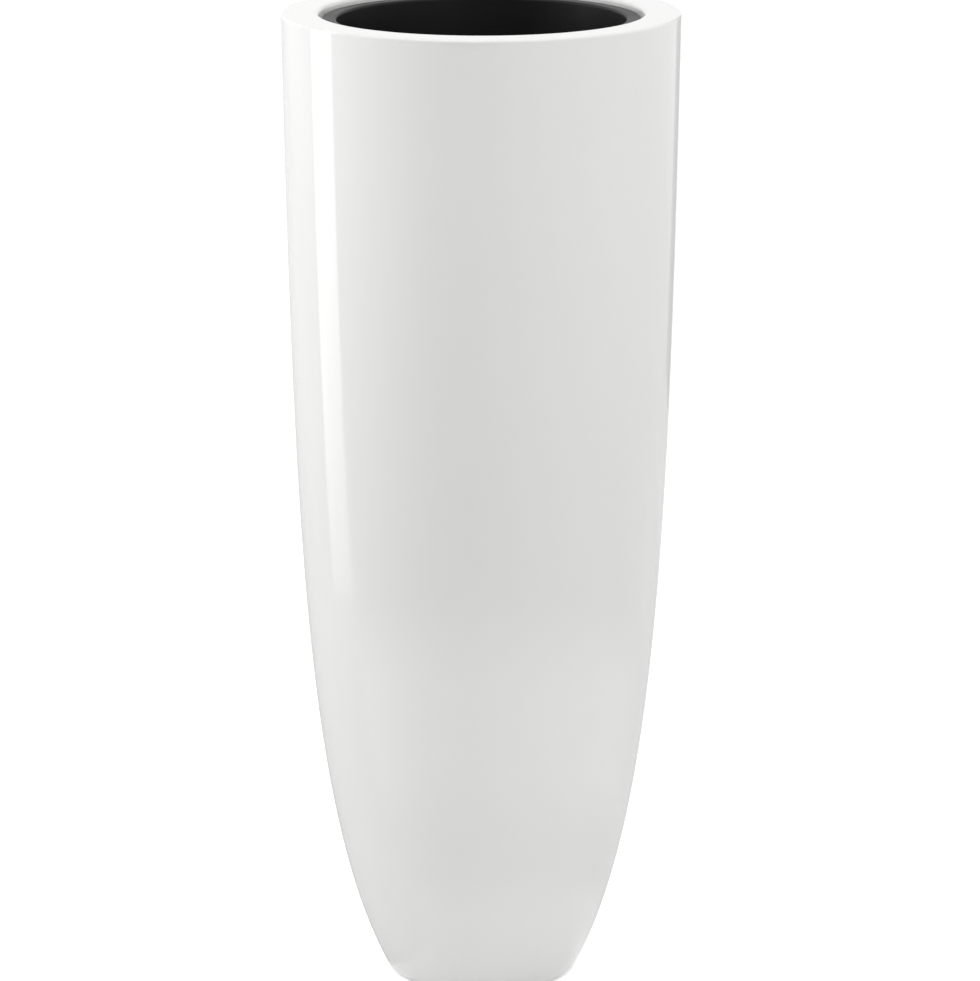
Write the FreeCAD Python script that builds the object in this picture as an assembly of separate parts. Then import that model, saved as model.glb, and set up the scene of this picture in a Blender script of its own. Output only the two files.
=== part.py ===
"""A tall glossy floor vase with a black planting insert that lifts out.

The vase stands on the plane z = 0 with its axis on Z, and all sizes are in millimetres.
The body is a thin moulded laminate with a broad flat rim, turned in and then down at the mouth.
A ring bonded under the rim carries the insert by its flange, and a cast weight fills the foot.
"""

import FreeCAD
import Part

import math
import os

Vector = FreeCAD.Vector

# Overall sizes of the body
overall_height = 1000.0
rim_diameter = 400.0
foot_diameter = 194.0
rim_width = 38.0

# The wall's curve: how it leaves the foot, where its belly is, and how it meets the rim
foot_lean_deg = 28.0
rim_draft_deg = 0.8
foot_handle_share = 0.185
rim_handle_share = 0.25
belly_height_share = 0.468
belly_radius_share = 0.9425

# The body's laminate and its rounded edges
wall_thickness = 5.0
base_thickness = 8.0
rim_thickness = 6.0
lip_thickness = 6.0
foot_edge_radius = 6.0
rim_edge_radius = 3.0
mouth_edge_radius = 4.5

# Pads stuck under the foot
pad_count = 4
pad_diameter = 36.0
pad_thickness = 3.0
pad_chamfer = 0.5
pad_inset = 11.0
first_pad_deg = 45.0

# The weight cast into the foot
ballast_height = 60.0
cast_gap = 0.3

# The insert's flange, wall and raised floor
flange_recess = 6.0
flange_thickness = 4.0
flange_clearance = 3.0
flange_width = 14.0
flange_edge_radius = 1.5
insert_lip_radius = 3.0
insert_neck_radius = 2.0
insert_wall = 3.0
insert_depth = 300.0
insert_draft_deg = 5.33
insert_foot_ring_height = 12.0
insert_floor_thickness = 4.0
insert_corner_radius = 12.0

# The dimple in the insert's floor and the plug that closes its hole
dimple_diameter = 44.0
dimple_depth = 10.0
drain_hole_diameter = 24.0
plug_stem_clearance = 0.3
plug_head_clearance = 3.0
plug_head_thickness = 4.0
plug_head_edge_radius = 1.0
plug_stem_overhang = 1.0
plug_stem_chamfer = 1.5
plug_grip_height = 5.0
plug_grip_thickness = 4.0
plug_grip_end_gap = 3.0

# The ring that carries the insert
ledge_thickness = 6.0
ledge_clearance = 1.0
ledge_skirt_height = 15.0
ledge_skirt_thickness = 5.0
ledge_edge_radius = 1.0
bond_gap = 0.4

# The two wire handles inside the insert, and the eyes that they swing in
wire_diameter = 4.0
handle_leg_spacing = 88.0
handle_drop = 84.0
handle_corner_radius = 18.0
handle_shoulder_radius = 6.0
handle_wall_gap = 3.0
pivot_depth = 52.0
pivot_clearance = 0.1
pin_overrun = 2.0
eye_width = 8.0
eye_radius = 7.0
eye_side_gap = 1.0

# How far a cutting solid runs past what it cuts
overrun = 1.0

# Levels and radii that follow from the sizes above
rim_radius = rim_diameter / 2
foot_radius = foot_diameter / 2
mouth_radius = rim_radius - rim_width
foot_level = pad_thickness
cavity_floor = foot_level + base_thickness
cavity_roof = overall_height - rim_thickness
flange_top = overall_height - flange_recess
flange_seat = flange_top - flange_thickness
flange_radius = mouth_radius - flange_clearance
insert_bore_radius = flange_radius - flange_width
insert_foot = flange_top - insert_depth
insert_floor_under = insert_foot + insert_foot_ring_height
insert_floor = insert_floor_under + insert_floor_thickness
dimple_radius = dimple_diameter / 2
dimple_floor = insert_floor - dimple_depth
dimple_under = dimple_floor - insert_floor_thickness
drain_radius = drain_hole_diameter / 2
wire_radius = wire_diameter / 2
pivot_level = overall_height - pivot_depth


def insert_outer_radius(level):
    """Radius of the insert's tapered outside at a level."""
    neck = insert_bore_radius + insert_wall
    return neck - (flange_top - level) * math.tan(math.radians(insert_draft_deg))


def insert_inner_radius(level):
    """Radius of the insert's tapered inside at a level."""
    return insert_outer_radius(level) - insert_wall


# Where a handle's pivot stands: as far out as lets the hanging handle clear the insert's wall
handle_leg_offset = handle_leg_spacing / 2
handle_low_radius = insert_inner_radius(pivot_level - handle_drop)
pivot_offset = (
    math.sqrt(handle_low_radius ** 2 - (handle_leg_offset + wire_radius) ** 2)
    - wire_radius
    - handle_wall_gap
)
eye_inner_face = handle_leg_offset + handle_shoulder_radius + eye_side_gap
eye_outer_face = eye_inner_face + eye_width


def on_section(radius, level):
    """A point of a half section, which lies in the XZ plane."""
    return Vector(radius, 0, level)


def revolved(edges):
    """The solid that a closed half section makes round the Z axis."""
    section = Part.Face(Part.Wire(edges))
    return section.revolve(Vector(0, 0, 0), Vector(0, 0, 1), 360)


def revolved_outline(corners):
    """The solid that a half section with straight sides makes, from its corners as (radius, level)."""
    points = [on_section(radius, level) for radius, level in corners]
    return revolved(Part.makePolygon(points + points[:1]).Edges)


def disc(radius, bottom, top):
    """A round slab on the axis between two levels."""
    return Part.makeCylinder(radius, top - bottom, Vector(0, 0, bottom))


def rounded(solid, circles, radius):
    """The solid with its edges on the given (radius, level) circles rounded."""
    found = []
    for edge in solid.Edges:
        if not isinstance(edge.Curve, Part.Circle):
            continue
        for circle_radius, level in circles:
            if math.isclose(edge.Curve.Radius, circle_radius, rel_tol=1e-6) and math.isclose(
                edge.Curve.Center.z, level, rel_tol=1e-6
            ):
                found.append(edge)
    return solid.makeFillet(radius, found)


def wall_curve(inset):
    """The wall's line from foot to rim, moved in from the outer face by inset."""
    foot_lean = math.radians(foot_lean_deg)
    rim_draft = math.radians(rim_draft_deg)
    foot_along = on_section(math.sin(foot_lean), math.cos(foot_lean))
    rim_along = on_section(math.sin(rim_draft), math.cos(rim_draft))
    foot = on_section(foot_radius, foot_level)
    rim = on_section(rim_radius, overall_height)
    above_foot = foot + foot_along * (foot_handle_share * overall_height)
    below_rim = rim - rim_along * (rim_handle_share * overall_height)
    belly = on_section(belly_radius_share * rim_radius, belly_height_share * overall_height)
    belly_along = (below_rim - above_foot).normalize()

    def moved_in(pole, along):
        return pole + on_section(-along.z, along.x) * inset

    poles = [
        moved_in(foot, foot_along),
        moved_in(above_foot, foot_along),
        moved_in(belly, belly_along),
        moved_in(below_rim, rim_along),
        moved_in(rim, rim_along),
    ]
    curve = Part.BezierCurve()
    curve.setPoles(poles)
    return curve


def wall_core(inset):
    """Everything inside the wall's line, moved in from the outer face by inset."""
    wall = wall_curve(inset).toShape()
    foot, rim = wall.Vertexes[0].Point, wall.Vertexes[-1].Point
    top_of_axis = on_section(0, rim.z)
    foot_of_axis = on_section(0, foot.z)
    return revolved(
        [
            Part.makeLine(foot_of_axis, foot),
            wall,
            Part.makeLine(rim, top_of_axis),
            Part.makeLine(top_of_axis, foot_of_axis),
        ]
    )


def outer_shell():
    """The moulded body: foot, wall, flat rim and the short lip turned down at the mouth."""
    body = wall_core(0)
    cavity = wall_core(wall_thickness).common(disc(rim_radius, cavity_floor, cavity_roof))
    lip = disc(mouth_radius + lip_thickness, flange_seat, cavity_roof)
    mouth = disc(mouth_radius, flange_seat - overrun, overall_height + overrun)
    shell = body.cut(cavity.cut(lip)).cut(mouth)
    shell = rounded(shell, [(foot_radius, foot_level)], foot_edge_radius)
    shell = rounded(shell, [(rim_radius, overall_height)], rim_edge_radius)
    return rounded(shell, [(mouth_radius, overall_height)], mouth_edge_radius)


def ledge_ring():
    """The ring bonded under the rim and round the lip, with a skirt that stiffens its inner edge."""
    bore = insert_outer_radius(flange_seat) + insert_neck_radius + ledge_clearance
    skirt = bore + ledge_skirt_thickness
    step = mouth_radius + lip_thickness + bond_gap
    underside = flange_seat - ledge_thickness
    skirt_foot = underside - ledge_skirt_height
    ring = revolved_outline(
        [
            (bore, skirt_foot),
            (skirt, skirt_foot),
            (skirt, underside),
            (rim_radius, underside),
            (rim_radius, cavity_roof),
            (step, cavity_roof),
            (step, flange_seat),
            (bore, flange_seat),
        ]
    )
    ring = ring.common(wall_core(wall_thickness + bond_gap))
    return rounded(ring, [(bore, flange_seat)], ledge_edge_radius)


def foot_ballast():
    """The weight cast in the foot, which takes the shape of the wall round it."""
    slab = disc(rim_radius, cavity_floor, cavity_floor + ballast_height)
    return slab.common(wall_core(wall_thickness + cast_gap))


def floor_pad(index):
    """One of the pads on a circle under the foot."""
    pad = disc(pad_diameter / 2, 0, foot_level)
    lower_edge = [edge for edge in pad.Edges if edge.BoundBox.ZMax < foot_level / 2]
    pad = pad.makeChamfer(pad_chamfer, lower_edge)
    turn = math.radians(first_pad_deg + 360 * index / pad_count)
    arm = foot_radius - pad_inset - pad_diameter / 2
    pad.translate(Vector(arm * math.cos(turn), arm * math.sin(turn), 0))
    return pad


def insert_eye(side):
    """One eye on the insert's back wall; side is 1 or -1 along X. It ends inside the wall's thickness."""
    start = Vector(eye_inner_face if side > 0 else -eye_outer_face, pivot_offset, pivot_level)
    nose = Part.makeCylinder(eye_radius, eye_width, start, Vector(1, 0, 0))
    root = Part.makeBox(
        eye_width, insert_bore_radius - pivot_offset, 2 * eye_radius, start - Vector(0, 0, eye_radius)
    )
    middle_of_wall = insert_wall / 2
    within = Part.makeCone(
        insert_outer_radius(insert_foot) - middle_of_wall,
        insert_outer_radius(flange_top) - middle_of_wall,
        insert_depth,
        Vector(0, 0, insert_foot),
    )
    return nose.fuse(root).common(within)


def pin_bore():
    """What is cut from the back eyes for the handle's two pins."""
    reach = eye_outer_face + overrun
    return Part.makeCylinder(
        wire_radius + pivot_clearance, 2 * reach, Vector(-reach, pivot_offset, pivot_level), Vector(1, 0, 0)
    )


def to_front(shape):
    """A copy of a shape at the back of the insert, turned round to the front."""
    return shape.rotated(Vector(0, 0, 0), Vector(0, 0, 1), 180)


def insert_pot():
    """The planting insert: flange, tapered wall, foot ring, raised floor with its drain, and four eyes."""
    boss_radius = dimple_radius + insert_wall
    pot = revolved_outline(
        [
            (flange_radius, flange_top),
            (insert_bore_radius, flange_top),
            (insert_inner_radius(insert_floor), insert_floor),
            (dimple_radius, insert_floor),
            (dimple_radius, dimple_floor),
            (drain_radius, dimple_floor),
            (drain_radius, dimple_under),
            (boss_radius, dimple_under),
            (boss_radius, insert_floor_under),
            (insert_inner_radius(insert_floor_under), insert_floor_under),
            (insert_inner_radius(insert_foot), insert_foot),
            (insert_outer_radius(insert_foot), insert_foot),
            (insert_outer_radius(flange_seat), flange_seat),
            (flange_radius, flange_seat),
        ]
    )
    pot = rounded(pot, [(insert_bore_radius, flange_top)], insert_lip_radius)
    pot = rounded(
        pot, [(flange_radius, flange_top), (flange_radius, flange_seat)], flange_edge_radius
    )
    pot = rounded(pot, [(insert_outer_radius(flange_seat), flange_seat)], insert_neck_radius)
    pot = rounded(pot, [(insert_inner_radius(insert_floor), insert_floor)], insert_corner_radius)
    back_eyes = [insert_eye(1), insert_eye(-1)]
    pot = pot.fuse(back_eyes + [to_front(eye) for eye in back_eyes])
    return pot.cut([pin_bore(), to_front(pin_bore())]).removeSplitter()


def back_handle():
    """The back handle: one bent wire, hanging from its two pins."""
    pin_end = eye_outer_face + pin_overrun
    lowest = pivot_level - handle_drop
    shoulder, corner = handle_shoulder_radius, handle_corner_radius
    leg = handle_leg_offset
    diagonal_share = math.sqrt(0.5)

    def at(across, level):
        return Vector(across, pivot_offset, level)

    def half(side):
        """The edges from one pin's end to the foot of its leg's lower bend."""
        outer = at(side * (leg + shoulder), pivot_level)
        shoulder_middle = at(
            side * (leg + shoulder - shoulder * diagonal_share),
            pivot_level - shoulder + shoulder * diagonal_share,
        )
        leg_top = at(side * leg, pivot_level - shoulder)
        leg_foot = at(side * leg, lowest + corner)
        corner_middle = at(
            side * (leg - corner + corner * diagonal_share),
            lowest + corner - corner * diagonal_share,
        )
        grip_end = at(side * (leg - corner), lowest)
        return [
            Part.makeLine(at(side * pin_end, pivot_level), outer),
            Part.Arc(outer, shoulder_middle, leg_top).toShape(),
            Part.makeLine(leg_top, leg_foot),
            Part.Arc(leg_foot, corner_middle, grip_end).toShape(),
        ], grip_end

    right, right_end = half(1)
    left, left_end = half(-1)
    path = Part.Wire(right + [Part.makeLine(right_end, left_end)] + left[::-1])
    tip = at(pin_end, pivot_level)
    section = Part.Wire(Part.makeCircle(wire_radius, tip, Vector(1, 0, 0)))
    return path.makePipeShell([section], True, False)


def insert_drain_plug():
    """The rubber plug in the dimple: a head on the dimple's floor, a stem in the hole and a bar to pull."""
    stem_radius = drain_radius - plug_stem_clearance
    stem_foot = dimple_under - plug_stem_overhang
    head_radius = dimple_radius - plug_head_clearance
    head_top = dimple_floor + plug_head_thickness
    plug = revolved_outline(
        [
            (0, stem_foot),
            (stem_radius - plug_stem_chamfer, stem_foot),
            (stem_radius, stem_foot + plug_stem_chamfer),
            (stem_radius, dimple_floor),
            (head_radius, dimple_floor),
            (head_radius, head_top),
            (0, head_top),
        ]
    )
    plug = rounded(plug, [(head_radius, head_top)], plug_head_edge_radius)
    bar_length = 2 * (head_radius - plug_grip_end_gap)
    bar = Part.makeBox(
        bar_length,
        plug_grip_thickness,
        plug_head_thickness / 2 + plug_grip_height,
        Vector(-bar_length / 2, -plug_grip_thickness / 2, dimple_floor + plug_head_thickness / 2),
    )
    return plug.fuse(bar).removeSplitter()


def main():
    handle = back_handle()
    nodes = {
        "outer_shell": outer_shell(),
        "ledge_ring": ledge_ring(),
        "foot_ballast": foot_ballast(),
        "insert_pot": insert_pot(),
        "lift_handle_back": handle,
        "lift_handle_front": to_front(handle),
        "insert_drain_plug": insert_drain_plug(),
    }
    for index in range(pad_count):
        nodes[f"floor_pad_{index + 1}"] = floor_pad(index)
    os.makedirs("parts", exist_ok=True)
    for name, shape in nodes.items():
        box = shape.BoundBox
        print(
            f"{name}: {len(shape.Solids)} solid, valid {shape.isValid()}, "
            f"{shape.Volume / 1000:.1f} cm3, z {box.ZMin:.2f} to {box.ZMax:.2f}, "
            f"x {box.XMin:.2f} to {box.XMax:.2f}, y {box.YMin:.2f} to {box.YMax:.2f}"
        )
        shape.exportStep(f"parts/{name}.step")


main()
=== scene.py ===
import math

import bpy
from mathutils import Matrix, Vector


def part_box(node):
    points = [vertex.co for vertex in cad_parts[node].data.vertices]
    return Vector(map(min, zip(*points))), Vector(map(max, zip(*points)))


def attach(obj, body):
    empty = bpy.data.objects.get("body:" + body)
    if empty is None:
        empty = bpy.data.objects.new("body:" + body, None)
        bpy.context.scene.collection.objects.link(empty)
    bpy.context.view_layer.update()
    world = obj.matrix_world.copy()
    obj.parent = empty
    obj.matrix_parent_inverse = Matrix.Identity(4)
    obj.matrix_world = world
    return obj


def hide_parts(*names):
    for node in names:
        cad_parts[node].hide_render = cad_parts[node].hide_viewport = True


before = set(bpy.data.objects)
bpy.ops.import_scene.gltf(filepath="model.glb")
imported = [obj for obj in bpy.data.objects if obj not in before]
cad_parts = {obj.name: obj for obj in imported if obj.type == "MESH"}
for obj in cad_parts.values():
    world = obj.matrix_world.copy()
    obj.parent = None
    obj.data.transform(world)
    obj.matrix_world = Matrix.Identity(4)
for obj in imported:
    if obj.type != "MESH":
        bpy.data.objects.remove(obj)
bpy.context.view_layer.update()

# The body: a hollow glass-fibre shell, laid up in a polished mould, with its broad rim turned in and
# then down at the mouth. The outside is sprayed with white two-pack lacquer and polished to a high gloss.
# Inside, the last layer of chopped fibre mat stays bare, as the brush and roller left it.
shell_low, shell_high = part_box("outer_shell")
rim_radius = shell_high.x
rim_level = shell_high.z
foot_level = shell_low.z
foot_radius = 0.097
rim_width = 0.038
wall_thickness = 0.005
base_thickness = 0.008
rim_thickness = 0.006
lip_thickness = 0.006
lip_depth = 0.010
foot_edge_radius = 0.006
rim_edge_radius = 0.003
mouth_edge_radius = 0.0045
mouth_radius = rim_radius - rim_width
lip_foot = rim_level - lip_depth
cavity_floor = foot_level + base_thickness
cavity_roof = rim_level - rim_thickness
lacquer_white = (0.80, 0.80, 0.79)
lacquer_shades = ((0.796, 0.797, 0.789), (0.804, 0.803, 0.793))
bare_mat = (0.60, 0.58, 0.50)
mat_dark_share = 0.78
mat_light_share = 1.12

# The wall's line is one long curve with five poles: foot, the lean out of the foot, belly, draft and rim
foot_lean = math.radians(28.0)
rim_draft = math.radians(0.8)
foot_handle_share = 0.185
rim_handle_share = 0.25
belly_radius_share = 0.9425
belly_level_share = 0.468
foot_handle = foot_handle_share * rim_level
rim_handle = rim_handle_share * rim_level
lean_radius = foot_radius + foot_handle * math.sin(foot_lean)
lean_level = foot_level + foot_handle * math.cos(foot_lean)
draft_radius = rim_radius - rim_handle * math.sin(rim_draft)
draft_level = rim_level - rim_handle * math.cos(rim_draft)
wall_poles = (
    Vector((foot_radius, foot_level)),
    Vector((lean_radius, lean_level)),
    Vector((belly_radius_share * rim_radius, belly_level_share * rim_level)),
    Vector((draft_radius, draft_level)),
    Vector((rim_radius, rim_level)),
)
wall_steps = 96

# Points of a mesh this close are merged, and a point this near to a place or a level counts as on it
merge_distance = 1e-6
near = 1e-5


def wall_at(share, inset=0.0):
    """A point of the wall as (radius, level), at a share of its curve, inset from its outer face."""
    row = wall_poles
    while len(row) > 2:
        row = [low.lerp(high, share) for low, high in zip(row, row[1:])]
    along = (row[1] - row[0]).normalized()
    return row[0].lerp(row[1], share) + inset * Vector((-along.y, along.x))


def pick(piece, element, chosen):
    """In edit mode, selects only the vertices, edges or faces whose corner points a test chooses."""
    bpy.ops.mesh.select_mode(type=element)
    bpy.ops.mesh.select_all(action="DESELECT")
    bpy.ops.object.mode_set(mode="OBJECT")
    mesh = piece.data
    if element == "VERT":
        for vertex in mesh.vertices:
            vertex.select = chosen([vertex.co])
    else:
        for part in mesh.edges if element == "EDGE" else mesh.polygons:
            part.select = chosen([mesh.vertices[index].co for index in part.vertices])
    bpy.ops.object.mode_set(mode="EDIT")


def turned(name, outline, steps=192, corner_steps=6):
    """A round piece, as on a lathe: a vertex run along a half outline, its corners rounded, then spun.

    The outline's points are (radius, level, corner radius), and a ring's outline ends where it began.
    """
    bpy.ops.object.select_all(action="DESELECT")
    bpy.ops.mesh.primitive_plane_add(size=rim_edge_radius)
    piece = bpy.context.object
    piece.name = piece.data.name = name
    bpy.ops.object.mode_set(mode="EDIT")
    bpy.ops.mesh.select_mode(type="VERT")
    bpy.ops.mesh.select_all(action="SELECT")
    bpy.ops.mesh.merge(type="CENTER")
    places = [Vector((radius, 0, level)) for radius, level, _ in outline]
    bpy.ops.transform.translate(value=places[0])
    for here, there in zip(places, places[1:]):
        bpy.ops.mesh.extrude_region_move(TRANSFORM_OT_translate={"value": there - here})
    bpy.ops.mesh.select_all(action="SELECT")
    bpy.ops.mesh.remove_doubles(threshold=merge_distance)
    for before, corner, after, point in zip(places, places[1:], places[2:], outline[1:]):
        corner_radius = point[2]
        if corner_radius:
            half_angle = (before - corner).angle(after - corner) / 2
            pick(piece, "VERT", lambda points: (points[0] - corner).length < near)
            bpy.ops.mesh.bevel(
                offset=corner_radius / math.tan(half_angle), segments=corner_steps, affect="VERTICES"
            )
    bpy.ops.mesh.select_all(action="SELECT")
    bpy.ops.mesh.spin(steps=steps, angle=2 * math.pi, center=(0, 0, 0), axis=(0, 0, 1))
    bpy.ops.mesh.select_all(action="SELECT")
    bpy.ops.mesh.remove_doubles(threshold=merge_distance)
    bpy.ops.mesh.normals_make_consistent(inside=False)
    bpy.ops.object.mode_set(mode="OBJECT")
    return piece


def smoothed(piece, sharp_deg=40):
    """Smooth shading between sharp edges, held flat on the broad faces."""
    bpy.ops.object.select_all(action="DESELECT")
    piece.select_set(True)
    bpy.context.view_layer.objects.active = piece
    bpy.ops.object.shade_smooth_by_angle(angle=math.radians(sharp_deg))
    bpy.ops.object.modifier_add(type="WEIGHTED_NORMAL")
    piece.modifiers[-1].keep_sharp = True
    bpy.ops.object.modifier_apply(modifier=piece.modifiers[-1].name)


def new_material(name, colour, roughness):
    """A material with its nodes, its main shader, and that shader's plain colour and roughness set."""
    material = bpy.data.materials.new(name)
    material.use_nodes = True
    shader = material.node_tree.nodes["Principled BSDF"]
    shader.inputs["Base Color"].default_value = (*colour, 1.0)
    shader.inputs["Roughness"].default_value = roughness
    return material, material.node_tree, shader


def noise(tree, cells, detail=2.0, squeeze=(1, 1, 1), turn=(0, 0, 0)):
    """Noise on object coordinates, in cells to the metre, squeezed along an axis and then turned."""
    place = tree.nodes.new("ShaderNodeTexCoord")
    mapping = tree.nodes.new("ShaderNodeMapping")
    mapping.vector_type = "TEXTURE"
    mapping.inputs["Rotation"].default_value = turn
    mapping.inputs["Scale"].default_value = squeeze
    texture = tree.nodes.new("ShaderNodeTexNoise")
    texture.inputs["Scale"].default_value = cells
    texture.inputs["Detail"].default_value = detail
    tree.links.new(place.outputs["Object"], mapping.inputs["Vector"])
    tree.links.new(mapping.outputs["Vector"], texture.inputs["Vector"])
    return texture.outputs["Fac"]


def bumped(tree, shader, height, depth, under=None):
    """Bump of a depth in metres from a height, over another bump where one is given."""
    bump = tree.nodes.new("ShaderNodeBump")
    bump.inputs["Distance"].default_value = depth
    tree.links.new(height, bump.inputs["Height"])
    if under is not None:
        tree.links.new(under, bump.inputs["Normal"])
    tree.links.new(bump.outputs["Normal"], shader.inputs["Normal"])
    return bump.outputs["Normal"]


def graded(tree, height, shades, start=0.35, end=0.65):
    """A colour that runs from the first of two shades to the second as a height goes from start to end."""
    ramp = tree.nodes.new("ShaderNodeValToRGB")
    for element, position, shade in zip(ramp.color_ramp.elements, (start, end), shades):
        element.position = position
        element.color = (*shade, 1.0)
    tree.links.new(height, ramp.inputs["Fac"])
    return ramp.outputs["Color"]


def ranged(tree, height, low, high, start=0.3, end=0.7):
    """A number that runs from low to high, each a number or a socket, as a height goes from start to end."""
    span = tree.nodes.new("ShaderNodeMapRange")
    for name, value in (("From Min", start), ("From Max", end), ("To Min", low), ("To Max", high)):
        if isinstance(value, float):
            span.inputs[name].default_value = value
        else:
            tree.links.new(value, span.inputs[name])
    tree.links.new(height, span.inputs["Value"])
    return span.outputs["Result"]


def highest(tree, heights):
    """The highest of several heights, point by point."""
    top = heights[0]
    for height in heights[1:]:
        larger = tree.nodes.new("ShaderNodeMath")
        larger.operation = "MAXIMUM"
        tree.links.new(top, larger.inputs[0])
        tree.links.new(height, larger.inputs[1])
        top = larger.outputs["Value"]
    return top


def laminate(name):
    """Bare glass-fibre mat: strands that lie every way in a yellowish resin, glossy where it pooled."""
    material, tree, shader = new_material(name, bare_mat, roughness=0.4)
    lays = ((0.5, 0.2, 0.3), (-0.6, 0.4, 1.4), (0.2, -0.7, 2.5), (1.2, 0.6, 0.8))
    strand_squeeze = (1, 1, 16)
    strands = highest(
        tree, [noise(tree, cells=420.0, detail=1.0, squeeze=strand_squeeze, turn=lay) for lay in lays]
    )
    shades = [
        tuple(share * level for level in bare_mat) for share in (mat_dark_share, mat_light_share)
    ]
    tree.links.new(graded(tree, strands, shades, start=0.5, end=0.75), shader.inputs["Base Color"])
    pools = noise(tree, cells=30.0)
    tree.links.new(ranged(tree, pools, low=0.25, high=0.6), shader.inputs["Roughness"])
    rolled = bumped(tree, shader, pools, depth=0.001)
    bumped(tree, shader, strands, depth=0.0005, under=rolled)
    return material


outer_wall = [(*wall_at(step / wall_steps), 0.0) for step in range(1, wall_steps)]
inner_line = [wall_at(step / wall_steps, wall_thickness) for step in range(wall_steps + 1)]
inner_wall = [(*point, 0.0) for point in inner_line if cavity_floor < point.y < cavity_roof]
shell = turned(
    "outer_shell_lacquered",
    [
        (0.0, foot_level, 0.0),
        (foot_radius, foot_level, foot_edge_radius),
        *outer_wall,
        (rim_radius, rim_level, rim_edge_radius),
        (mouth_radius, rim_level, mouth_edge_radius),
        (mouth_radius, lip_foot, 0.0),
        (mouth_radius + lip_thickness, lip_foot, 0.0),
        (mouth_radius + lip_thickness, cavity_roof, 0.0),
        (inner_wall[-1][0], cavity_roof, 0.0),
        *inner_wall[::-1],
        (inner_wall[0][0], cavity_floor, 0.0),
        (0.0, cavity_floor, 0.0),
    ],
)
smoothed(shell)

lacquer, tree, shader = new_material("white_lacquer", lacquer_white, roughness=0.05)
tint = noise(tree, cells=5.0)
tree.links.new(graded(tree, tint, lacquer_shades), shader.inputs["Base Color"])
polish = noise(tree, cells=14.0)
tree.links.new(ranged(tree, polish, low=0.04, high=0.06), shader.inputs["Roughness"])
long_waves = bumped(tree, shader, noise(tree, cells=8.0, detail=1.0), depth=0.0001)
bumped(tree, shader, noise(tree, cells=260.0, detail=1.0), depth=0.000003, under=long_waves)
shell.data.materials.append(lacquer)
shell.data.materials.append(laminate("shell_inside_laminate"))

# The faces of the cavity, and those of its wall below the lip, are the bare mat
bare_margin = 0.001
for face in shell.data.polygons:
    reach = math.hypot(face.center.x, face.center.y)
    level = face.center.z
    inward = face.normal.x * face.center.x + face.normal.y * face.center.y < 0
    within = cavity_floor - bare_margin < level < cavity_roof + bare_margin
    on_floor = level < cavity_floor + bare_margin
    if within and (inward or on_floor) and reach > mouth_radius + bare_margin:
        face.material_index = 1
    if within and inward and level < lip_foot - bare_margin:
        face.material_index = 1
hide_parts("outer_shell")
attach(shell, "shell")

# The ledge: a laminate ring bonded up under the rim and round its lip, which carries the insert's flange.
# A short skirt at its bore stiffens it. It is laid up on a wooden former and stays unpainted.
ledge_low, ledge_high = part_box("ledge_ring")
ledge_bore = 0.150627
ledge_thickness = 0.006
ledge_skirt_thickness = 0.005
ledge_edge_radius = 0.001
lip_clearance = 0.0004
ledge_step = mouth_radius + lip_thickness + lip_clearance
ledge_skirt = ledge_bore + ledge_skirt_thickness
ledge_underside = lip_foot - ledge_thickness
ledge_reach = ledge_high.x
ledge_reach_below = ledge_reach - (ledge_high.z - ledge_underside) * math.tan(rim_draft)
ledge = turned(
    "ledge_ring_laminate",
    [
        (ledge_bore, ledge_underside, 0.0),
        (ledge_bore, lip_foot, ledge_edge_radius),
        (ledge_step, lip_foot, 0.0),
        (ledge_step, ledge_high.z, 0.0),
        (ledge_reach, ledge_high.z, ledge_edge_radius),
        (ledge_reach_below, ledge_underside, ledge_edge_radius),
        (ledge_skirt, ledge_underside, ledge_edge_radius),
        (ledge_skirt, ledge_low.z, ledge_edge_radius),
        (ledge_bore, ledge_low.z, ledge_edge_radius),
        (ledge_bore, ledge_underside, 0.0),
    ],
    corner_steps=3,
)
smoothed(ledge)
ledge.data.materials.append(laminate("ledge_laminate"))
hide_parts("ledge_ring")
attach(ledge, "shell")

# The weight in the foot: grey mortar poured in through the mouth, which takes the shape of the wall.
# Its top was levelled with a float and left rough, with soft hollows and sandy grain.
ballast_low, ballast_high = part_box("foot_ballast")
ballast_gap = 0.0003
ballast_inset = wall_thickness + ballast_gap
ballast_edge_radius = 0.002
ballast_rings = 14
floated_share = 0.97
floated_margin = 0.0001
float_marks = 0.0008
mortar_grey = (0.40, 0.39, 0.37)
mortar_shades = ((0.33, 0.32, 0.30), (0.46, 0.45, 0.42))
ballast_line = [wall_at(step / wall_steps, ballast_inset) for step in range(wall_steps + 1)]
ballast_wall = [(*point, 0.0) for point in ballast_line if ballast_low.z < point.y < ballast_high.z]
ballast_top_radius = ballast_wall[-1][0]
ballast_top = [
    (ballast_top_radius * (1 - ring / ballast_rings), ballast_high.z, 0.0)
    for ring in range(1, ballast_rings)
]
ballast = turned(
    "foot_ballast_mortar",
    [
        (0.0, ballast_low.z, 0.0),
        (ballast_wall[0][0], ballast_low.z, 0.0),
        *ballast_wall,
        (ballast_top_radius, ballast_high.z, ballast_edge_radius),
        *ballast_top,
        (0.0, ballast_high.z, 0.0),
    ],
    steps=96,
    corner_steps=3,
)
bpy.ops.object.mode_set(mode="EDIT")
pick(
    ballast,
    "VERT",
    lambda points: points[0].z > ballast_high.z - floated_margin
    and points[0].xy.length < ballast_top_radius * floated_share,
)
bpy.ops.transform.vertex_random(offset=float_marks, normal=0.0, seed=4)
bpy.ops.mesh.vertices_smooth(factor=0.5, repeat=1)
bpy.ops.object.mode_set(mode="OBJECT")
smoothed(ballast)
mortar, tree, shader = new_material("cast_mortar", mortar_grey, roughness=0.9)
sand = noise(tree, cells=900.0, detail=3.0)
clouds = noise(tree, cells=22.0, detail=4.0)
tree.links.new(graded(tree, clouds, mortar_shades, start=0.3, end=0.7), shader.inputs["Base Color"])
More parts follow.
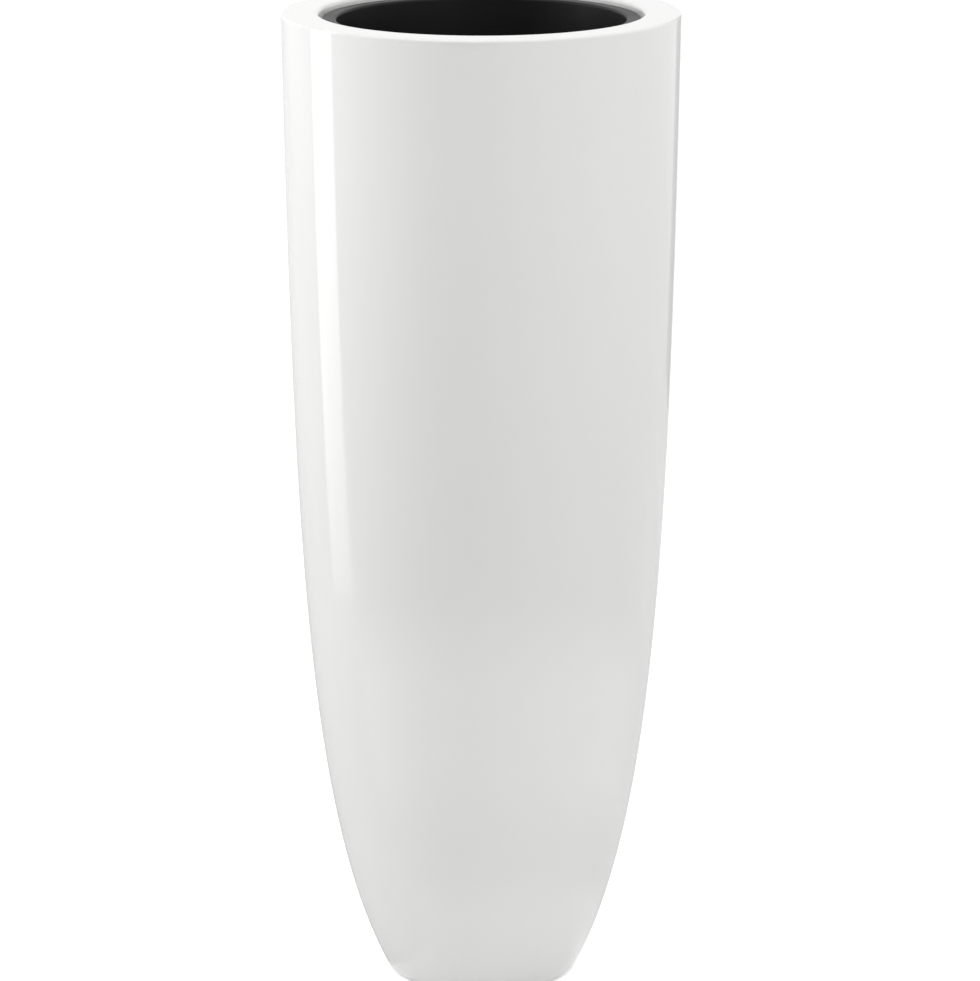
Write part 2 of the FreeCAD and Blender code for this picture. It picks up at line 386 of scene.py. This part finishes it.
tree.links.new(ranged(tree, sand, low=0.8, high=0.95), shader.inputs["Roughness"])
floated = bumped(tree, shader, clouds, depth=0.0015)
bumped(tree, shader, sand, depth=0.0004, under=floated)
ballast.data.materials.append(mortar)
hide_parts("foot_ballast")
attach(ballast, "shell")

# The floor pads: four die-cut discs of black rubber, stuck under the foot, with their lower edges chamfered.
# They lift the shell a few millimetres, which gives the thin dark line under its rounded foot.
pad_low, pad_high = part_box("floor_pad_1")
pad_radius = (pad_high.x - pad_low.x) / 2
pad_chamfer = 0.0005
pad_upper_edge = pad_chamfer / 3
pad_middle = (pad_low + pad_high) / 2
rubber_black = (0.03, 0.03, 0.03)
rubber_shades = ((0.022, 0.022, 0.022), (0.05, 0.049, 0.047))
bpy.ops.object.select_all(action="DESELECT")
bpy.ops.mesh.primitive_cylinder_add(
    vertices=72, radius=pad_radius, depth=pad_high.z - pad_low.z, location=pad_middle
)
bpy.ops.object.transform_apply()
pad = bpy.context.object
pad.name = pad.data.name = "floor_pad_rubber_1"
bpy.ops.object.mode_set(mode="EDIT")
pick(pad, "EDGE", lambda points: all(point.z < pad_low.z + near for point in points))
bpy.ops.mesh.bevel(offset=pad_chamfer, segments=2)
pick(pad, "EDGE", lambda points: all(point.z > pad_high.z - near for point in points))
bpy.ops.mesh.bevel(offset=pad_upper_edge, segments=2)
bpy.ops.object.mode_set(mode="OBJECT")
smoothed(pad)
pad_rubber, tree, shader = new_material("pad_rubber", rubber_black, roughness=0.75)
scuffs = noise(tree, cells=160.0, detail=3.0)
tree.links.new(graded(tree, scuffs, rubber_shades), shader.inputs["Base Color"])
tree.links.new(ranged(tree, scuffs, low=0.65, high=0.9), shader.inputs["Roughness"])
bumped(tree, shader, noise(tree, cells=1500.0), depth=0.0001)
pad.data.materials.append(pad_rubber)


def copied(piece, name):
    """A copy of a piece with a mesh of its own, selected alone."""
    bpy.ops.object.select_all(action="DESELECT")
    piece.select_set(True)
    bpy.context.view_layer.objects.active = piece
    bpy.ops.object.duplicate()
    copy = bpy.context.object
    copy.name = copy.data.name = name
    return copy


pads = [pad]
for number in (2, 3, 4):
    low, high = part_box(f"floor_pad_{number}")
    pads.append(copied(pad, f"floor_pad_rubber_{number}"))
    bpy.ops.transform.translate(value=(low + high) / 2 - pad_middle)
    bpy.ops.object.transform_apply()
for number, piece in enumerate(pads, start=1):
    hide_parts(f"floor_pad_{number}")
    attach(piece, "shell")

# The planting insert: a tapered pot moulded in black polypropylene, hung in the mouth by its broad flange.
# It stands on nothing. Its floor has a dimple with the drain hole, and four eyes for the handles are
# moulded on its wall.
insert_low, insert_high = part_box("insert_pot")
flange_radius = insert_high.x
flange_top = insert_high.z
flange_seat = lip_foot
insert_foot = insert_low.z
insert_bore = 0.145
insert_wall = 0.003
insert_draft = math.radians(5.33)
insert_skirt = 0.012
insert_floor_thickness = 0.004
insert_floor_under = insert_foot + insert_skirt
insert_floor = insert_floor_under + insert_floor_thickness
dimple_radius = 0.022
dimple_depth = 0.010
dimple_floor = insert_floor - dimple_depth
dimple_under = dimple_floor - insert_floor_thickness
drain_radius = 0.012
drain_edge_radius = 0.0005
floor_corner_radius = 0.012
bore_edge_radius = 0.003
flange_edge_radius = 0.0015
flange_root_radius = 0.002
insert_edge_radius = 0.001
insert_black = (0.0045, 0.0045, 0.005)
insert_shades = ((0.004, 0.004, 0.0044), (0.0052, 0.0052, 0.0056))


def insert_inner(level):
    """The radius of the insert's tapered inside at a level."""
    return insert_bore - (flange_top - level) * math.tan(insert_draft)


def insert_outer(level):
    """The radius of the insert's tapered outside at a level."""
    return insert_inner(level) + insert_wall


insert = turned(
    "insert_pot_moulded",
    [
        (drain_radius, dimple_under, 0.0),
        (drain_radius, dimple_floor, drain_edge_radius),
        (dimple_radius, dimple_floor, insert_edge_radius),
        (dimple_radius, insert_floor, insert_edge_radius),
        (insert_inner(insert_floor), insert_floor, floor_corner_radius),
        (insert_bore, flange_top, bore_edge_radius),
        (flange_radius, flange_top, flange_edge_radius),
        (flange_radius, flange_seat, flange_edge_radius),
        (insert_outer(flange_seat), flange_seat, flange_root_radius),
        (insert_outer(insert_foot), insert_foot, insert_edge_radius),
        (insert_inner(insert_foot), insert_foot, insert_edge_radius),
        (insert_inner(insert_floor_under), insert_floor_under, insert_edge_radius),
        (dimple_radius + insert_wall, insert_floor_under, insert_edge_radius),
        (dimple_radius + insert_wall, dimple_under, insert_edge_radius),
        (drain_radius, dimple_under, 0.0),
    ],
)

# One of its eyes, made at the back right: a round nose on a root that ends inside the wall's thickness
back_low, back_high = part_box("lift_handle_back")
wire_radius = (back_high.y - back_low.y) / 2
pivot = Vector((0.0, (back_low.y + back_high.y) / 2, back_high.z - wire_radius))
eye_radius = 0.007
eye_inner_face = 0.051
eye_outer_face = 0.059
eye_edge_radius = 0.0006
eye_middle = (eye_inner_face + eye_outer_face) / 2
pin_clearance = 0.0001
pin_bore_radius = wire_radius + pin_clearance
quarter_turn = math.pi / 2


def combined(piece, other, operation):
    """Adds, cuts or trims a piece with another, which is used up."""
    bpy.ops.object.select_all(action="DESELECT")
    piece.select_set(True)
    bpy.context.view_layer.objects.active = piece
    bpy.ops.object.modifier_add(type="BOOLEAN")
    piece.modifiers[-1].object = other
    piece.modifiers[-1].operation = operation
    piece.modifiers[-1].solver = "EXACT"
    bpy.ops.object.modifier_apply(modifier=piece.modifiers[-1].name)
    bpy.data.meshes.remove(other.data)


def pin_rod(name, radius, middle, length):
    """A rod that lies along X through the handle's pivot."""
    bpy.ops.object.select_all(action="DESELECT")
    bpy.ops.mesh.primitive_cylinder_add(
        vertices=48,
        radius=radius,
        depth=length,
        location=(middle, pivot.y, pivot.z),
        rotation=(0, quarter_turn, 0),
    )
    bpy.ops.object.transform_apply()
    rod = bpy.context.object
    rod.name = rod.data.name = name
    return rod


eye = pin_rod("insert_eye", eye_radius, eye_middle, eye_outer_face - eye_inner_face)
bpy.ops.object.mode_set(mode="EDIT")
pick(
    eye,
    "FACE",
    lambda points: len(points) == 4 and sum(point.y for point in points) / 4 > pivot.y,
)
bpy.ops.mesh.extrude_region_move(TRANSFORM_OT_translate={"value": (0, insert_bore - pivot.y, 0)})
pick(
    eye,
    "EDGE",
    lambda points: abs(points[0].x - points[1].x) < merge_distance
    and all(point.y < pivot.y + near for point in points)
    and (points[0] - points[1]).length < eye_radius / 2,
)
bpy.ops.mesh.bevel(offset=eye_edge_radius, segments=3)
bpy.ops.object.mode_set(mode="OBJECT")
within_wall = turned(
    "eye_limit",
    [
        (0.0, insert_foot, 0.0),
        (insert_inner(insert_foot) + insert_wall / 2, insert_foot, 0.0),
        (insert_inner(flange_top) + insert_wall / 2, flange_top, 0.0),
        (0.0, flange_top, 0.0),
    ],
)
combined(eye, within_wall, "INTERSECT")
combined(eye, pin_rod("pin_bore", pin_bore_radius, eye_middle, 2 * eye_radius), "DIFFERENCE")
left_eye = copied(eye, "insert_eye_left")
bpy.ops.transform.mirror(constraint_axis=(True, False, False), center_override=(0, 0, 0))
bpy.ops.object.transform_apply()
for back_eye in (eye, left_eye):
    copied(back_eye, back_eye.name + "_front")
    bpy.ops.transform.rotate(value=math.pi, orient_axis="Z", center_override=(0, 0, 0))
    bpy.ops.object.transform_apply()
    combined(insert, bpy.context.object, "UNION")
for back_eye in (eye, left_eye):
    combined(insert, back_eye, "UNION")
smoothed(insert, sharp_deg=32)

moulded, tree, shader = new_material("insert_polypropylene", insert_black, roughness=0.42)
shader.inputs["Specular IOR Level"].default_value = 0.22
flow = noise(tree, cells=18.0, detail=3.0)
tree.links.new(graded(tree, flow, insert_shades), shader.inputs["Base Color"])
tree.links.new(ranged(tree, flow, low=0.38, high=0.46), shader.inputs["Roughness"])
sunk = bumped(tree, shader, noise(tree, cells=24.0, detail=1.0), depth=0.0002)
bumped(tree, shader, noise(tree, cells=2200.0, detail=1.0), depth=0.00003, under=sunk)
insert.data.materials.append(moulded)
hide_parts("insert_pot")
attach(insert, "insert")

# The two lift handles: steel wire bent to a bail, dipped in a black coating and sprung into the insert's
# eyes. Each hangs against the insert's wall, and swings up through the mouth to lift the insert out.
pin_end = back_high.x
handle_leg = 0.044
shoulder_radius = 0.006
shoulder_steps = 8
grip_corner_radius = 0.018
grip_corner_steps = 12
grip_level = back_low.z + wire_radius
wire_sides = 24
wire_end_radius = wire_radius / 3
coating_black = (0.03, 0.03, 0.032)
coating_shades = ((0.024, 0.024, 0.026), (0.04, 0.04, 0.042))
shoulder_level = pivot.z - shoulder_radius
shoulder_across = handle_leg + shoulder_radius
corner_level = grip_level + grip_corner_radius
corner_across = handle_leg - grip_corner_radius


def run_wire(across, up):
    """Takes the wire's end on in a straight run."""
    bpy.ops.mesh.extrude_region_move(TRANSFORM_OT_translate={"value": (across, 0, up)})


def bend_wire(across, level, angle, steps):
    """Takes the wire's end round a quarter bend with its middle at the given place."""
    bpy.ops.mesh.spin(steps=steps, angle=angle, center=(across, pivot.y, level), axis=(0, 1, 0))


bpy.ops.object.select_all(action="DESELECT")
bpy.ops.mesh.primitive_circle_add(
    vertices=wire_sides,
    radius=wire_radius,
    location=(pin_end, pivot.y, pivot.z),
    rotation=(0, quarter_turn, 0),
)
bpy.ops.object.transform_apply()
back_handle = bpy.context.object
back_handle.name = back_handle.data.name = "lift_handle_back_wire"
bpy.ops.object.mode_set(mode="EDIT")
bpy.ops.mesh.select_all(action="SELECT")
run_wire(shoulder_across - pin_end, 0)
bend_wire(shoulder_across, shoulder_level, quarter_turn, shoulder_steps)
run_wire(0, corner_level - shoulder_level)
bend_wire(corner_across, corner_level, -quarter_turn, grip_corner_steps)
run_wire(-2 * corner_across, 0)
bend_wire(-corner_across, corner_level, -quarter_turn, grip_corner_steps)
run_wire(0, shoulder_level - corner_level)
bend_wire(-shoulder_across, shoulder_level, quarter_turn, shoulder_steps)
run_wire(shoulder_across - pin_end, 0)
bpy.ops.mesh.select_all(action="SELECT")
bpy.ops.mesh.remove_doubles(threshold=merge_distance)
bpy.ops.mesh.fill_holes(sides=0)
pick(back_handle, "EDGE", lambda points: all(abs(point.x) > pin_end - near for point in points))
bpy.ops.mesh.bevel(offset=wire_end_radius, segments=3)
bpy.ops.mesh.select_all(action="SELECT")
bpy.ops.mesh.normals_make_consistent(inside=False)
bpy.ops.object.mode_set(mode="OBJECT")
smoothed(back_handle)
coating, tree, shader = new_material("wire_coating", coating_black, roughness=0.4)
dipped = noise(tree, cells=120.0)
tree.links.new(graded(tree, dipped, coating_shades), shader.inputs["Base Color"])
tree.links.new(ranged(tree, dipped, low=0.33, high=0.48), shader.inputs["Roughness"])
bumped(tree, shader, dipped, depth=0.0002)
back_handle.data.materials.append(coating)
front_handle = copied(back_handle, "lift_handle_front_wire")
bpy.ops.transform.rotate(value=math.pi, orient_axis="Z", center_override=(0, 0, 0))
bpy.ops.object.transform_apply()
for handle, side in ((front_handle, "front"), (back_handle, "back")):
    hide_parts(f"lift_handle_{side}")
    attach(handle, f"{side}_handle")

# The drain plug: one rubber moulding with a stem in the drain hole, a flat head in the floor's dimple,
# and a bar across the head to pull it out by.
plug_low, plug_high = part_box("insert_drain_plug")
stem_clearance = 0.0003
stem_radius = drain_radius - stem_clearance
stem_chamfer = 0.0015
stem_edge_radius = 0.0005
head_radius = plug_high.x
head_thickness = 0.004
head_top = dimple_floor + head_thickness
head_lower_edge = 0.0005
head_upper_edge = 0.001
grip_length = 0.032
grip_thickness = 0.004
grip_edge_radius = 0.001
grip_foot = dimple_floor + head_thickness / 2
plug_grey = (0.04, 0.04, 0.042)
plug_shades = ((0.034, 0.034, 0.036), (0.055, 0.055, 0.056))
plug = turned(
    "insert_drain_plug_rubber",
    [
        (0.0, plug_low.z, 0.0),
        (stem_radius - stem_chamfer, plug_low.z, 0.0),
        (stem_radius, plug_low.z + stem_chamfer, stem_edge_radius),
        (stem_radius, dimple_floor, 0.0),
        (head_radius, dimple_floor, head_lower_edge),
        (head_radius, head_top, head_upper_edge),
        (0.0, head_top, 0.0),
    ],
    steps=72,
    corner_steps=4,
)
bpy.ops.object.select_all(action="DESELECT")
bpy.ops.mesh.primitive_cube_add(
    size=1.0,
    location=(0, 0, (grip_foot + plug_high.z) / 2),
    scale=(grip_length, grip_thickness, plug_high.z - grip_foot),
)
bpy.ops.object.transform_apply()
grip = bpy.context.object
grip.name = grip.data.name = "plug_grip"
bpy.ops.object.mode_set(mode="EDIT")
pick(grip, "EDGE", lambda points: max(point.z for point in points) > plug_high.z - near)
bpy.ops.mesh.bevel(offset=grip_edge_radius, segments=4)
bpy.ops.object.mode_set(mode="OBJECT")
combined(plug, grip, "UNION")
smoothed(plug, sharp_deg=35)
plug_rubber, tree, shader = new_material("plug_rubber", plug_grey, roughness=0.7)
bloom = noise(tree, cells=140.0, detail=3.0)
tree.links.new(graded(tree, bloom, plug_shades), shader.inputs["Base Color"])
tree.links.new(ranged(tree, bloom, low=0.6, high=0.85), shader.inputs["Roughness"])
bumped(tree, shader, noise(tree, cells=1200.0), depth=0.00008)
plug.data.materials.append(plug_rubber)
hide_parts("insert_drain_plug")
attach(plug, "plug")

# The setting: a white floor that runs on without an edge, white all round, a soft lamp above and another at
# the right. Panels that no camera sees show in the gloss: a tall softbox at the left as a bright strip, a
# grey card behind at the right as a thin dark line, and the studio's floor and front as soft bands.
floor_size = 60.0
floor_white = (0.9, 0.9, 0.9)
foot_shade_inner = 0.086
foot_shade_outer = 0.098
floor_glow = 0.55
far_floor_glow = 0.42
world_light = 0.73
full_white = (1.0, 1.0, 1.0, 1.0)


def seen_glow(tree, straight, mirrored, lighting=0.0):
    """A glow with one level for the camera's view, one for gloss and glass, and one for lighting."""
    path = tree.nodes.new("ShaderNodeLightPath")
    mirrors = highest(tree, [path.outputs["Is Glossy Ray"], path.outputs["Is Transmission Ray"]])
    views = ((path.outputs["Is Camera Ray"], straight), (mirrors, mirrored))
    return highest(tree, [ranged(tree, rays, lighting, seen, start=0.0, end=1.0) for rays, seen in views])


def place_in_studio(tree):
    """How far a point lies from the middle of the floor, and its X, Y and Z."""
    place = tree.nodes.new("ShaderNodeTexCoord")
    distance = tree.nodes.new("ShaderNodeVectorMath")
    distance.operation = "LENGTH"
    split = tree.nodes.new("ShaderNodeSeparateXYZ")
    tree.links.new(place.outputs["Object"], distance.inputs[0])
    tree.links.new(place.outputs["Object"], split.inputs["Vector"])
    return distance.outputs["Value"], split.outputs


bpy.ops.object.select_all(action="DESELECT")
bpy.ops.mesh.primitive_plane_add(size=floor_size)
floor = bpy.context.object
floor.name = "floor"
floor_paint, tree, shader = new_material("floor_paint", floor_white, roughness=0.9)
shader.inputs["Specular IOR Level"].default_value = 0.0
shader.inputs["Emission Color"].default_value = full_white
distance, axes = place_in_studio(tree)
far_glow = ranged(tree, distance, 0.0, far_floor_glow, start=2.5, end=6.0)
# Under the foot's edge the floor's camera glow fades out: this is painted shade, and with the real shadow in
# the gap it gives the dark line under the foot.
open_glow = ranged(tree, distance, 0.0, floor_glow, start=foot_shade_inner, end=foot_shade_outer)
tree.links.new(seen_glow(tree, open_glow, far_glow), shader.inputs["Emission Strength"])
floor.data.materials.append(floor_paint)

studio = bpy.data.worlds.new("studio")
bpy.context.scene.world = studio
studio.use_nodes = True
tree = studio.node_tree
background = tree.nodes["Background"]
tree.links.new(seen_glow(tree, 1.0, 1.0, world_light), background.inputs["Strength"])
background.inputs["Color"].default_value = full_white


def panel(name, place, turn, width, height, lights=False):
    """A flat panel that no camera sees. It only shows in gloss, or else it only lights things."""
    bpy.ops.object.select_all(action="DESELECT")
    bpy.ops.mesh.primitive_plane_add(size=1.0, location=place, rotation=turn)
    piece = bpy.context.object
    piece.scale = (width, height, 1)
    bpy.ops.object.transform_apply()
    piece.name = name
    piece.visible_camera = False
    piece.visible_shadow = False
    piece.visible_diffuse = lights
    piece.visible_glossy = not lights
    material, tree, shader = new_material(name + "_face", (0.0, 0.0, 0.0), roughness=1.0)
    shader.inputs["Specular IOR Level"].default_value = 0.0
    shader.inputs["Emission Color"].default_value = full_white
    piece.data.materials.append(material)
    return tree, shader


facing_right = (quarter_turn, 0, quarter_turn)
facing_front = (quarter_turn, 0, 0)
lying_flat = (0, 0, 0)

# The softbox is one panel for its light and one for its strip in the gloss, whose foot stands forward
softbox_level = 0.97
softbox_height = 1.86
strip_foot_forward = 0.08
tree, shader = panel(
    "softbox", (-1.2, -0.02, softbox_level), facing_right, 0.385, softbox_height, lights=True
)
distance, axes = place_in_studio(tree)
softbox_glow = ranged(tree, axes["Z"], low=0.8, high=5.0, start=0.12, end=0.95)
tree.links.new(softbox_glow, shader.inputs["Emission Strength"])

tree, shader = panel(
    "softbox_face", (-1.198, 0.211, softbox_level), facing_right, 0.398, softbox_height
)
strip = bpy.data.objects["softbox_face"]
bpy.ops.object.mode_set(mode="EDIT")
pick(strip, "VERT", lambda points: points[0].z < softbox_level)
bpy.ops.transform.translate(value=(0, -strip_foot_forward, 0))
bpy.ops.object.mode_set(mode="OBJECT")
distance, axes = place_in_studio(tree)
strip_glow = ranged(tree, axes["Z"], low=1.25, high=3.4, start=0.04, end=0.6)
tree.links.new(strip_glow, shader.inputs["Emission Strength"])

# The floor behind at the left, as the gloss shows it: grey near the vase and lighter far to the left
tree, shader = panel("floor_flag", (-3.55, 3.4, 0.002), lying_flat, 6.9, 7.1)
distance, axes = place_in_studio(tree)
flag_glow = ranged(tree, distance, low=0.6, high=0.78, start=0.6, end=4.0)
flag_left_glow = ranged(tree, axes["X"], low=1.0, high=0.55, start=-4.4, end=-1.5)
tree.links.new(highest(tree, [flag_glow, flag_left_glow]), shader.inputs["Emission Strength"])

# The floor in front, as the gloss shows it, in levels by distance from the middle: lit at the foot, in the
# vase's soft shade, on the white sheet, past its edge and far off. Behind the vase it fades to one level.
sheet_reach = 4.2
sheet_brightness = 1.14
sheet_plain_level = 0.64
sheet_levels = (
    (0.22, 0.93),
    (0.29, 0.50),
    (0.38, 0.50),
    (0.56, 0.94),
    (0.88, 0.97),
    (1.25, 0.18),
    (1.40, 0.18),
    (sheet_reach, 0.98),
)
tree, shader = panel("front_sheet", (0.0, -2.75, 0.001), lying_flat, 14.0, 8.5)
shader.inputs["Emission Color"].default_value = (*(sheet_brightness,) * 3, 1.0)
distance, axes = place_in_studio(tree)
bands = tree.nodes.new("ShaderNodeValToRGB")
for far, _ in sheet_levels[1:-1]:
    bands.color_ramp.elements.new(far / sheet_reach)
for element, (far, level) in zip(bands.color_ramp.elements, sheet_levels):
    element.position = far / sheet_reach
    element.color = (level, level, level, 1.0)
tree.links.new(ranged(tree, distance, 0.0, 1.0, start=0.0, end=sheet_reach), bands.inputs["Fac"])
backward = tree.nodes.new("ShaderNodeMath")
backward.operation = "DIVIDE"
tree.links.new(axes["Y"], backward.inputs[0])
tree.links.new(distance, backward.inputs[1])
sheet_glow = ranged(
    tree, backward.outputs["Value"], bands.outputs["Color"], sheet_plain_level, start=0.0, end=0.6
)
tree.links.new(sheet_glow, shader.inputs["Emission Strength"])

# The grey card behind at the right, and the dim front of the room
dim_level = 0.5
tree, shader = panel("grey_card", (1.0, 2.0, 1.1), facing_front, 0.6, 2.0)
shader.inputs["Emission Strength"].default_value = dim_level
tree, shader = panel("room_front", (-4.2, -6.2, 2.0), facing_front, 10.4, 8.0)
shader.inputs["Emission Strength"].default_value = dim_level


def soft_lamp(name, size, watts, place, turn):
    """A square soft lamp that shines along its own -Z."""
    lamp_data = bpy.data.lights.new(name, "AREA")
    lamp_data.shape = "SQUARE"
    lamp_data.size = size
    lamp_data.energy = watts
    lamp = bpy.data.objects.new(name, lamp_data)
    lamp.location = place
    lamp.rotation_euler = turn
    bpy.context.collection.objects.link(lamp)
    return lamp


soft_lamp("overhead", 2.5, 21.0, (0.0, 0.0, 3.4), (0, 0, 0))
fill_turn = (math.radians(70), 0, math.radians(70))
right_fill = soft_lamp("right_fill", 1.6, 10.0, (2.35, -0.86, 1.7), fill_turn)
right_fill.visible_glossy = False

# The camera stands in front, higher than the rim, and looks down on the vase with a long lens
camera_place = (0.0085, -4.75, 1.675)
camera_tilt_down = 13.80
camera_lens = 175.8
camera_data = bpy.data.cameras.new("camera")
camera_data.lens = camera_lens
camera = bpy.data.objects.new("camera", camera_data)
bpy.context.collection.objects.link(camera)
camera.location = camera_place
camera.rotation_euler = (math.radians(90 - camera_tilt_down), 0, 0)
bpy.context.scene.camera = camera
bpy.context.scene.view_settings.view_transform = "Standard"
